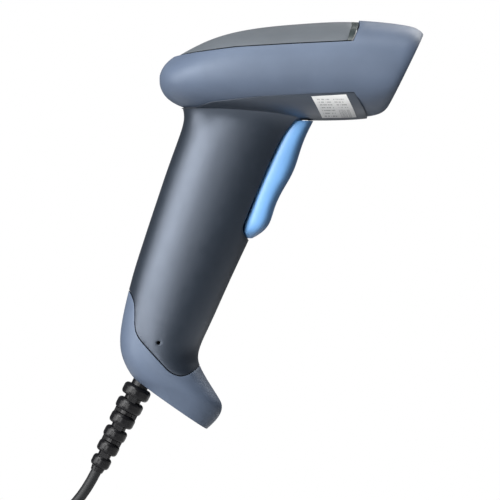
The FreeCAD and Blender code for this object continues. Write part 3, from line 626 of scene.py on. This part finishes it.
class SCANNER_OT_stage(bpy.types.Operator):
    """Set up the pale floor, the soft lights and the camera"""

    bl_idname = "scanner.stage"
    bl_label = "Studio"

    def execute(self, context):
        settings = context.scene.scanner_stage
        self.add_camera(context, settings)
        self.add_floor(settings)
        self.add_world(context)
        for light in LIGHTS:
            self.add_light(context, *light)
        return {"FINISHED"}

    def add_camera(self, context, settings):
        centre = Vector(settings.view_centre)
        camera = bpy.data.cameras.new("view")
        camera.sensor_width = 36.0
        camera.lens = camera.sensor_width * settings.view_distance / settings.view_width
        camera.clip_end = 20.0
        holder = bpy.data.objects.new("view", camera)
        holder.location = centre + Vector((0.0, -settings.view_distance, 0.0))
        holder.rotation_euler = (math.pi / 2, 0.0, 0.0)
        context.scene.collection.objects.link(holder)
        context.scene.camera = holder
        context.scene.view_settings.view_transform = "Standard"

    def add_floor(self, settings):
        nothing_selected()
        centre = (0.5 * (CAD_BOX[0][0] + CAD_BOX[1][0]), 0.0, CAD_BOX[0][2])
        bpy.ops.mesh.primitive_circle_add(
            vertices=96, radius=settings.floor_radius, fill_type="NGON", location=centre
        )
        floor = bpy.context.object
        floor.name = "floor"
        graph = material_graph("pale_floor")
        reach = graph.node("ShaderNodeVectorMath", {"operation": "LENGTH"}, graph.place, output=1)
        edge = 1.0 - reach.smooth(0.6 * settings.floor_radius, 0.98 * settings.floor_radius)
        floor.data.materials.append(graph.finish(Base_Color=(0.8, 0.8, 0.8), Roughness=0.7, Alpha=edge))
        floor.visible_diffuse = False

    def add_world(self, context):
        """Soft sky that lights the scanner, and plain white behind it."""
        world = bpy.data.worlds.new("studio")
        context.scene.world = world
        graph = Graph(world, "Generated")
        _, _, height = graph.axes()
        strength = SKY_STRENGTH + SKY_RISE * height
        soft = graph.node("ShaderNodeBackground", None, Color=SKY_COLOUR, Strength=strength)
        white = graph.node("ShaderNodeBackground", None, Color=(1.0, 1.0, 1.0), Strength=1.0)
        behind = graph.node("ShaderNodeLightPath", output="Is Camera Ray")
        blend = graph.node("ShaderNodeMixShader", None, behind, soft, white)
        graph.node("ShaderNodeOutputWorld", None, Surface=blend)

    def add_light(self, context, name, place, size, power):
        light = bpy.data.lights.new(name, "AREA")
        light.shape = "RECTANGLE"
        light.size, light.size_y = size
        light.energy = power
        holder = bpy.data.objects.new(name, light)
        holder.location = place
        holder.rotation_euler = (LIGHT_AIM - Vector(place)).to_track_quat("-Z", "Y").to_euler()
        context.scene.collection.objects.link(holder)


# ---------------------------------------------------------------- cable

BOOT_EXIT = Vector((-23.0, 0.0, -61.0)) * MM
BOOT_DIRECTION = Vector((-0.452, 0.0, -0.892))
BOOT_LENGTH = 39.6 * MM
FIRST_RUN = 9.0 * MM
COIL_CENTRE_X = -100.0 * MM
COIL_LIFT = 0.8 * MM

# The cable's way from the end of its first run to the top of the coil.
ROUTE = (
    Vector((-53.4, 0.0, -113.8)) * MM,
    Vector((-64.4, 0.0, -119.6)) * MM,
    Vector((-76.8, 0.0, -121.4)) * MM,
    Vector((-88.6, 0.0, -121.45)) * MM,
)


class SCANNER_OT_cable(bpy.types.Operator):
    """Lay the cable from the boot into its coil and on to the plug"""

    bl_idname = "scanner.cable"
    bl_label = "Cable"

    def execute(self, context):
        sizes = context.scene.scanner_sizes
        start = BOOT_EXIT + BOOT_DIRECTION * BOOT_LENGTH
        route = [start, start + BOOT_DIRECTION * FIRST_RUN, *ROUTE]
        points = route + self.coil(sizes) + self.tail(sizes)
        data = bpy.data.curves.new("cable", "CURVE")
        data.dimensions = "3D"
        spline = data.splines.new("NURBS")
        spline.points.add(len(points) - 1)
        for point, place in zip(spline.points, points):
            point.co = (*place, 1.0)
        spline.order_u = 3
        spline.use_endpoint_u = True
        data.resolution_u = 4
        data.bevel_depth = sizes.cable_diameter / 2
        data.bevel_resolution = 5
        data.use_fill_caps = True
        cable = bpy.data.objects.new("cable", data)
        context.scene.collection.objects.link(cable)
        data.materials.append(cable_jacket("cable_jacket", context.scene.scanner_colours.jacket))
        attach(cable, "housing")
        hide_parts("cable_run", "cable_coil", "cable_tail")
        return {"FINISHED"}

    def coil(self, sizes):
        """Turns wound from the top outer one, in and out layer by layer, down to the floor."""
        wire = sizes.cable_diameter
        outer = sizes.coil_radius + (sizes.coil_columns - 1) * wire / 2
        floor = CAD_BOX[0][2] + COIL_LIFT
        turns = sizes.coil_columns * sizes.coil_layers - 1.5
        turns_per_layer = turns / sizes.coil_layers
        crossing = turns_per_layer - (sizes.coil_columns - 1)
        bow = 1.0 / (0.5 + 0.5 * math.cos(math.pi / sizes.coil_steps))
        points = []
        for step in range(2, round(turns * sizes.coil_steps) + 1):
            turn = step / sizes.coil_steps
            layer = min(int(turn / turns_per_layer), sizes.coil_layers - 1)
            along = turn - layer * turns_per_layer
            inwards = min(along, sizes.coil_columns - 1) * wire
            dropped = max(0.0, along - (sizes.coil_columns - 1)) / crossing
            if layer == sizes.coil_layers - 1:
                dropped = 0.0
            if layer % 2:
                inwards = (sizes.coil_columns - 1) * wire - inwards
            radius = (outer - inwards) * bow
            height = floor + wire * (sizes.coil_layers - layer - dropped - 0.5)
            angle = -math.pi / 2 - 2 * math.pi * turn
            points.append(Vector((
                COIL_CENTRE_X + radius * math.cos(angle),
                outer + radius * math.sin(angle),
                height,
            )))
        return points

    def tail(self, sizes):
        """The last stretch, from the coil's foot to the plug's sleeve."""
        low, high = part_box("plug_sleeve")
        end = Vector((low.x, (low.y + high.y) / 2, (low.z + high.z) / 2))
        floor = CAD_BOX[0][2] + sizes.cable_diameter / 2
        return [
            Vector((-88.0 * MM, end.y + 0.4 * MM, floor + 0.8 * MM)),
            Vector((-80.0 * MM, end.y - 0.5 * MM, floor + 0.5 * MM)),
            Vector((-71.0 * MM, end.y - 0.2 * MM, end.z - 0.4 * MM)),
            end,
        ]


# ---------------------------------------------------------------- housing

class SCANNER_OT_housing(bpy.types.Operator):
    """Finish the shells, cover, panel and end cap"""

    bl_idname = "scanner.housing"
    bl_label = "Housing"

    def execute(self, context):
        colours = context.scene.scanner_colours
        cover = moulded("cover_plastic", colours.cover, 0.5, tint=(0.82, 0.9, 1.0))
        paint(cover, "head_cover", "end_cap")
        shell = moulded("shell_plastic", colours.shell, 0.42, gloss=1.0, tint=(0.74, 0.83, 1.0))
        paint(shell, "handle_shell_right", "handle_shell_left")
        paint(moulded("panel_plastic", colours.panel, 0.55, gloss=0.35), "top_panel")
        paint(moulded("lens_plastic", colours.lens, 0.25, edge=0.0001), "status_lens")
        soften(("head_cover", "end_cap", "top_panel"), 0.4 * MM)
        soften(("handle_shell_right", "handle_shell_left"), 0.25 * MM)
        return {"FINISHED"}


class SCANNER_OT_nose(bpy.types.Operator):
    """Finish the scan window and its gasket"""

    bl_idname = "scanner.nose"
    bl_label = "Scan window"

    def execute(self, context):
        colours = context.scene.scanner_colours
        paint(clear_resin("window_filter", colours.window, 0.6, 0.03), "scan_window")
        paint(moulded("gasket_rubber", (0.012, 0.012, 0.012), 0.7), "window_gasket")
        return {"FINISHED"}


class SCANNER_OT_label(bpy.types.Operator):
    """Print the label with plain bars and lines"""

    bl_idname = "scanner.label"
    bl_label = "Label"

    def execute(self, context):
        paint(printed_label("label_film", context.scene.scanner_colours.label), "spec_label")
        return {"FINISHED"}


class SCANNER_OT_trigger(bpy.types.Operator):
    """Finish the trigger and its mechanism"""

    bl_idname = "scanner.trigger"
    bl_label = "Trigger"

    def execute(self, context):
        colours = context.scene.scanner_colours
        paint(moulded("trigger_plastic", colours.trigger, 0.4), "trigger")
        paint(fine_plastic("plunger_plastic", (0.45, 0.04, 0.03), 0.35), "switch_plunger")
        steel = plain_metal("plain_steel", (0.55, 0.55, 0.56), 0.3)
        paint(steel, *[name for name in NODES if "screw" in name], "trigger_pin", "trigger_spring")
        return {"FINISHED"}


class SCANNER_OT_inside(bpy.types.Operator):
    """Finish the boards, scan engine and connector"""

    bl_idname = "scanner.inside"
    bl_label = "Electronics"

    def execute(self, context):
        black = fine_plastic("black_plastic", (0.02, 0.02, 0.022), 0.5)
        paint(black, "trigger_switch", "beeper", "modular_jack")
        paint(black, "engine_chassis", "engine_lid", "lens_barrel")
        chip = fine_plastic("chip_plastic", (0.02, 0.02, 0.02), 0.45)
        paint(chip, "decoder_chip", "memory_chip", "sensor_chip")
        paint(fine_plastic("connector_plastic", (0.65, 0.62, 0.5), 0.5), "flex_socket")
        mask = context.scene.scanner_colours.board
        paint(solder_mask("leaning_board", mask, -BOARD_LEAN), "main_board")
        paint(solder_mask("upright_board", mask), "switch_board", "sensor_board", "illumination_board")
        paint(fine_plastic("flex_film", (0.4, 0.17, 0.03), 0.3), "flex_cable")
        lamps = [name for name in NODES if name.startswith("scan_led")]
        paint(fine_plastic("led_resin", (0.6, 0.1, 0.07), 0.2), "status_led", *lamps)
        clear = clear_resin("clear_plastic", (0.8, 0.85, 0.88), 0.4)
        paint(clear, "modular_plug", "led_diffuser", "light_pipe")
        paint(clear_resin("lens_coating", (0.12, 0.08, 0.3), 0.85, 0.02), "lens_glass")
        return {"FINISHED"}


class SCANNER_OT_screws(bpy.types.Operator):
    """Model the screws with their cross recesses"""

    bl_idname = "scanner.screws"
    bl_label = "Screws"

    def execute(self, context):
        steel = bpy.data.materials["plain_steel"]
        for index in (1, 2, 3):
            name = f"case_screw_{index}"
            low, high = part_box(name)
            centre = (low + high) / 2
            place = moved(centre.x, high.y - CASE_SCREW[1], centre.z) @ turned(-math.pi / 2, "X")
            self.place_screw(name, steel, place, *CASE_SCREW)
        for index in (1, 2, 3, 4):
            name = f"engine_screw_{index}"
            low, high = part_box(name)
            centre = (low + high) / 2
            self.place_screw(name, steel, moved(centre.x, centre.y, low.z), *ENGINE_SCREW)
        for index, along in ((1, -14.0), (2, 18.0)):
            place = on_board(along * MM, 7.4 * MM)
            self.place_screw(f"board_screw_{index}", steel, place, *BOARD_SCREW)
        return {"FINISHED"}

    def place_screw(self, node, steel, place, head, height, core, shank):
        """Round head with a cross recess, and the shank drawn out of its underside."""
        screw = rounded_disc(head, height, 0.3 * height)
        if shank:
            pick_faces(lambda centre, normal: normal.z < -0.9)
            bpy.ops.mesh.inset(thickness=head - core)
            bpy.ops.mesh.extrude_region_move(TRANSFORM_OT_translate={"value": (0.0, 0.0, -shank)})
            bpy.ops.mesh.bevel(offset=0.2 * core, segments=1, affect="EDGES")
            done()
        arms = []
        for spin in (0.0, math.pi / 2):
            arm = rimmed_block((1.1 * head, 0.26 * head, height), 0.04 * head, 1)
            arm.data.transform(moved(0.0, 0.0, 0.45 * height) @ turned(spin, "Z"))
            arms.append(arm)
        for arm in arms:
            cut_away(screw, arm)
        screw.data.transform(place)
        handed_over(screw, node + "_body", "plain_steel", steel)
        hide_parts(node)


class SCANNER_OT_components(bpy.types.Operator):
    """Solder the small components and the chips' legs to the boards"""

    bl_idname = "scanner.components"
    bl_label = "Components"

    def execute(self, context):
        tin = plain_metal("tinned_metal", (0.75, 0.75, 0.74), 0.3)
        ceramic = fine_plastic("component_ceramic", (0.32, 0.22, 0.13), 0.5)
        resistor = fine_plastic("component_black", (0.03, 0.03, 0.032), 0.4)
        places = [on_board(along * MM, across * MM) for along, across in FRONT_SPOTS]
        self.add_chips("board_capacitors", places[::2], ceramic, tin)
        self.add_chips("board_resistors", places[1::2], resistor, tin)
        back = [on_board(along * MM, across * MM, -BOARD_HALF) @ turned(math.pi, "X")
                for along in BACK_ROWS for across in BACK_COLUMNS]
        self.add_chips("board_back_parts", back, resistor, tin)
        sensor_low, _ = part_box("sensor_board")
        sensor = middle("sensor_board")
        behind = [moved(sensor_low.x, sensor.y + y * MM, sensor.z + z * MM) @ turned(-math.pi / 2, "Y")
                  for y in (-15.0, -10.0, 10.0, 15.0) for z in (-5.0, 0.0, 5.0)]
        self.add_chips("sensor_board_parts", behind, ceramic, tin)
        lamp_board = middle("illumination_board")
        _, lamp_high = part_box("illumination_board")
        between = [moved(lamp_high.x, y * MM, lamp_board.z - 2.8 * MM) @ turned(math.pi / 2, "Y")
                   for y in (-12.0, -6.0, 0.0, 6.0, 12.0)]
        self.add_chips("lamp_resistors", between, resistor, tin)
        switch_low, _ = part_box("switch_board")
        switch = middle("switch_board")
        soldered = [moved(switch_low.x, switch.y + y * MM, switch.z) @ turned(-math.pi / 2, "Y")
                    for y in (-6.5, 6.5)]
        self.add_chips("switch_board_parts", soldered, resistor, tin)
        self.add_legs(tin)
        return {"FINISHED"}

    def add_chips(self, name, places, body, tin):
        """Chip components: a block drawn out at both ends into tinned caps."""
        block = rimmed_block((1.1 * MM, 1.0 * MM, 0.55 * MM), 0.04 * MM, 1)
        block.data.materials.append(body)
        block.data.materials.append(tin)
        for side in (-1.0, 1.0):
            pick_faces(lambda centre, normal: normal.x * side > 0.9)
            for reach in (0.06 * MM, 0.34 * MM):
                bpy.ops.mesh.extrude_region_move(TRANSFORM_OT_translate={"value": (side * reach, 0.0, 0.0)})
            done()
        for face in block.data.polygons:
            face.material_index = int(abs(face.center.x) > 0.58 * MM)
        handed_over(repeated(block, places), name, "chip_plastic")

    def add_legs(self, tin):
        """Bent legs round the two chips."""
        sides = [(side * math.pi / 2, 5.0, offset) for side in range(4) for offset in range(-4, 5)]
        leg = drawn_out(0.36 * MM, 0.12 * MM, (0.0, 0.0, 0.6 * MM), LEG_BEND)
        places = [
            on_board(6.0 * MM, 0.0) @ turned(spin, "Z") @ moved(reach * MM, offset * MM, 0.0)
            for spin, reach, offset in sides
        ]
        handed_over(repeated(leg, places), "decoder_legs", "plug_steel", tin)
        leg = drawn_out(0.4 * MM, 0.12 * MM, (0.0, 0.0, 0.6 * MM), LEG_BEND)
        places = [
            on_board(-8.0 * MM, 5.0 * MM) @ turned(spin, "Z") @ moved(3.0 * MM, offset * MM, 0.0)
            for spin in (0.0, math.pi) for offset in (-1.9, -0.63, 0.63, 1.9)
        ]
        handed_over(repeated(leg, places), "memory_legs", "plug_steel", tin)


class SCANNER_OT_lamps(bpy.types.Operator):
    """Put a dome lens on each scan lamp"""

    bl_idname = "scanner.lamps"
    bl_label = "Lamps"

    def execute(self, context):
        resin = clear_resin("dome_resin", (0.9, 0.35, 0.3), 0.6)
        nothing_selected()
        bpy.ops.mesh.primitive_uv_sphere_add(segments=20, ring_count=12, radius=DOME_RADIUS)
        edit()
        bpy.ops.object.mode_set(mode="EDIT")
        bpy.ops.mesh.select_all(action="SELECT")
        bpy.ops.mesh.bisect(
            plane_co=(0.0, 0.0, 0.0), plane_no=(0.0, 0.0, 1.0), use_fill=True, clear_inner=True
        )
        dome = done()
        dome.data.transform(Matrix.Diagonal((1.0, 1.0, DOME_FLATTENING, 1.0)))
        places = []
        for index in range(1, 7):
            low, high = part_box(f"scan_led_{index}")
            centre = (low + high) / 2
            places.append(moved(high.x, centre.y, centre.z) @ turned(math.pi / 2, "Y"))
        handed_over(repeated(dome, places), "lamp_domes", "clear_plastic", resin, smooth=1.2)
        return {"FINISHED"}


class SCANNER_OT_plug(bpy.types.Operator):
    """Finish the boot, the tie and the data plug"""

    bl_idname = "scanner.plug"
    bl_label = "Boot and plug"

    def execute(self, context):
        boot_colour = context.scene.scanner_colours.boot
        boot = moulded("boot_rubber", boot_colour, 0.28, grain=0.000002, edge=0.0002, gloss=0.22)
        paint(boot, "cable_boot", "plug_sleeve")
        grip = moulded("plug_plastic", (0.014, 0.014, 0.015), 0.4)
        paint(grip, "plug_grip")
        paint(plain_metal("plug_steel", (0.72, 0.72, 0.72), 0.18), "plug_shell")
        paint(fine_plastic("plug_insulator", (0.75, 0.75, 0.73), 0.4), "plug_tongue")
        paint(woven_strap("tie_band", (0.02, 0.02, 0.022)), "cable_tie")
        soften(("plug_grip",), 1.3 * MM, 4)
        soften(("plug_shell",), 0.15 * MM)
        gold = plain_metal("gold_plate", (0.9, 0.62, 0.22), 0.22)
        self.add_contacts(gold)
        self.add_blades(gold)
        self.add_grip_bars(grip)
        return {"FINISHED"}

    def add_contacts(self, gold):
        """Four sprung contacts on the plug's tongue."""
        low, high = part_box("plug_tongue")
        steps = ((1.5 * MM, 0.0, 0.0), (5.5 * MM, 0.0, 0.0), (1.2 * MM, 0.0, 0.1 * MM))
        strip = drawn_out(1.1 * MM, 0.2 * MM, (0.0, 0.0, 0.0), steps)
        start = high.x - 8.6 * MM
        centre_y = (low.y + high.y) / 2
        places = [moved(start, centre_y + y * MM, high.z + 0.05 * MM) for y in (-3.5, -1.1, 1.1, 3.5)]
        handed_over(repeated(strip, places), "plug_contacts", "plug_steel", gold)

    def add_blades(self, gold):
        """Eight wires in the jack, inside its mouth."""
        centre = middle("modular_plug")
        tilt = Vector((0.0, 0.0, 1.0)).rotation_difference(BOOT_DIRECTION).to_matrix().to_4x4()
        blade = rimmed_block((0.25 * MM, 0.35 * MM, 4.0 * MM), 0.05 * MM, 1)
        places = [
            Matrix.Translation(centre) @ tilt @ moved(3.9 * MM, y * 1.02 * MM, -6.0 * MM)
            for y in (-3.5, -2.5, -1.5, -0.5, 0.5, 1.5, 2.5, 3.5)
        ]
        handed_over(repeated(blade, places), "plug_blades", "plug_steel", gold)

    def add_grip_bars(self, grip):
        """Raised bars on the plug's top, for the fingers."""
        low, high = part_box("plug_grip")
        bar = rimmed_block((0.9 * MM, 9.0 * MM, 0.5 * MM), 0.2 * MM, 2)
        top = [
            moved(low.x + (9.0 + 2.4 * step) * MM, (low.y + high.y) / 2, high.z - 0.2 * MM)
            for step in range(6)
        ]
        handed_over(repeated(bar, top), "plug_grip_bars", "plug_plastic", grip)


class SCANNER_PT_panel(bpy.types.Panel):
    """Buttons and settings of the scanner"""

    bl_idname = "SCANNER_PT_panel"
    bl_label = "Barcode scanner"
    bl_space_type = "VIEW_3D"
    bl_region_type = "UI"
    bl_category = "Scanner"

    def draw(self, context):
        column = self.layout.column(align=True)
        for operator in OPERATORS:
            column.operator(operator.bl_idname)
        for name, group in GROUPS.items():
            box = self.layout.box()
            for setting in group.__annotations__:
                box.prop(getattr(context.scene, name), setting)


OPERATORS = (
    SCANNER_OT_stage,
    SCANNER_OT_cable,
    SCANNER_OT_housing,
    SCANNER_OT_nose,
    SCANNER_OT_label,
    SCANNER_OT_trigger,
    SCANNER_OT_inside,
    SCANNER_OT_screws,
    SCANNER_OT_components,
    SCANNER_OT_lamps,
    SCANNER_OT_plug,
)
GROUPS = {
    "scanner_colours": ScannerColours,
    "scanner_sizes": ScannerSizes,
    "scanner_stage": ScannerStage,
}


def register():
    for item in (*GROUPS.values(), *OPERATORS, SCANNER_PT_panel):
        bpy.utils.register_class(item)
    for name, group in GROUPS.items():
        setattr(bpy.types.Scene, name, PointerProperty(type=group))


def unregister():
    for name in GROUPS:
        delattr(bpy.types.Scene, name)
    for item in reversed((*GROUPS.values(), *OPERATORS, SCANNER_PT_panel)):
        bpy.utils.unregister_class(item)


def main():
    register()
    nothing_selected()
    for operator in OPERATORS:
        group, name = operator.bl_idname.split(".")
        getattr(getattr(bpy.ops, group), name)()


if __name__ == "__main__":
    main()
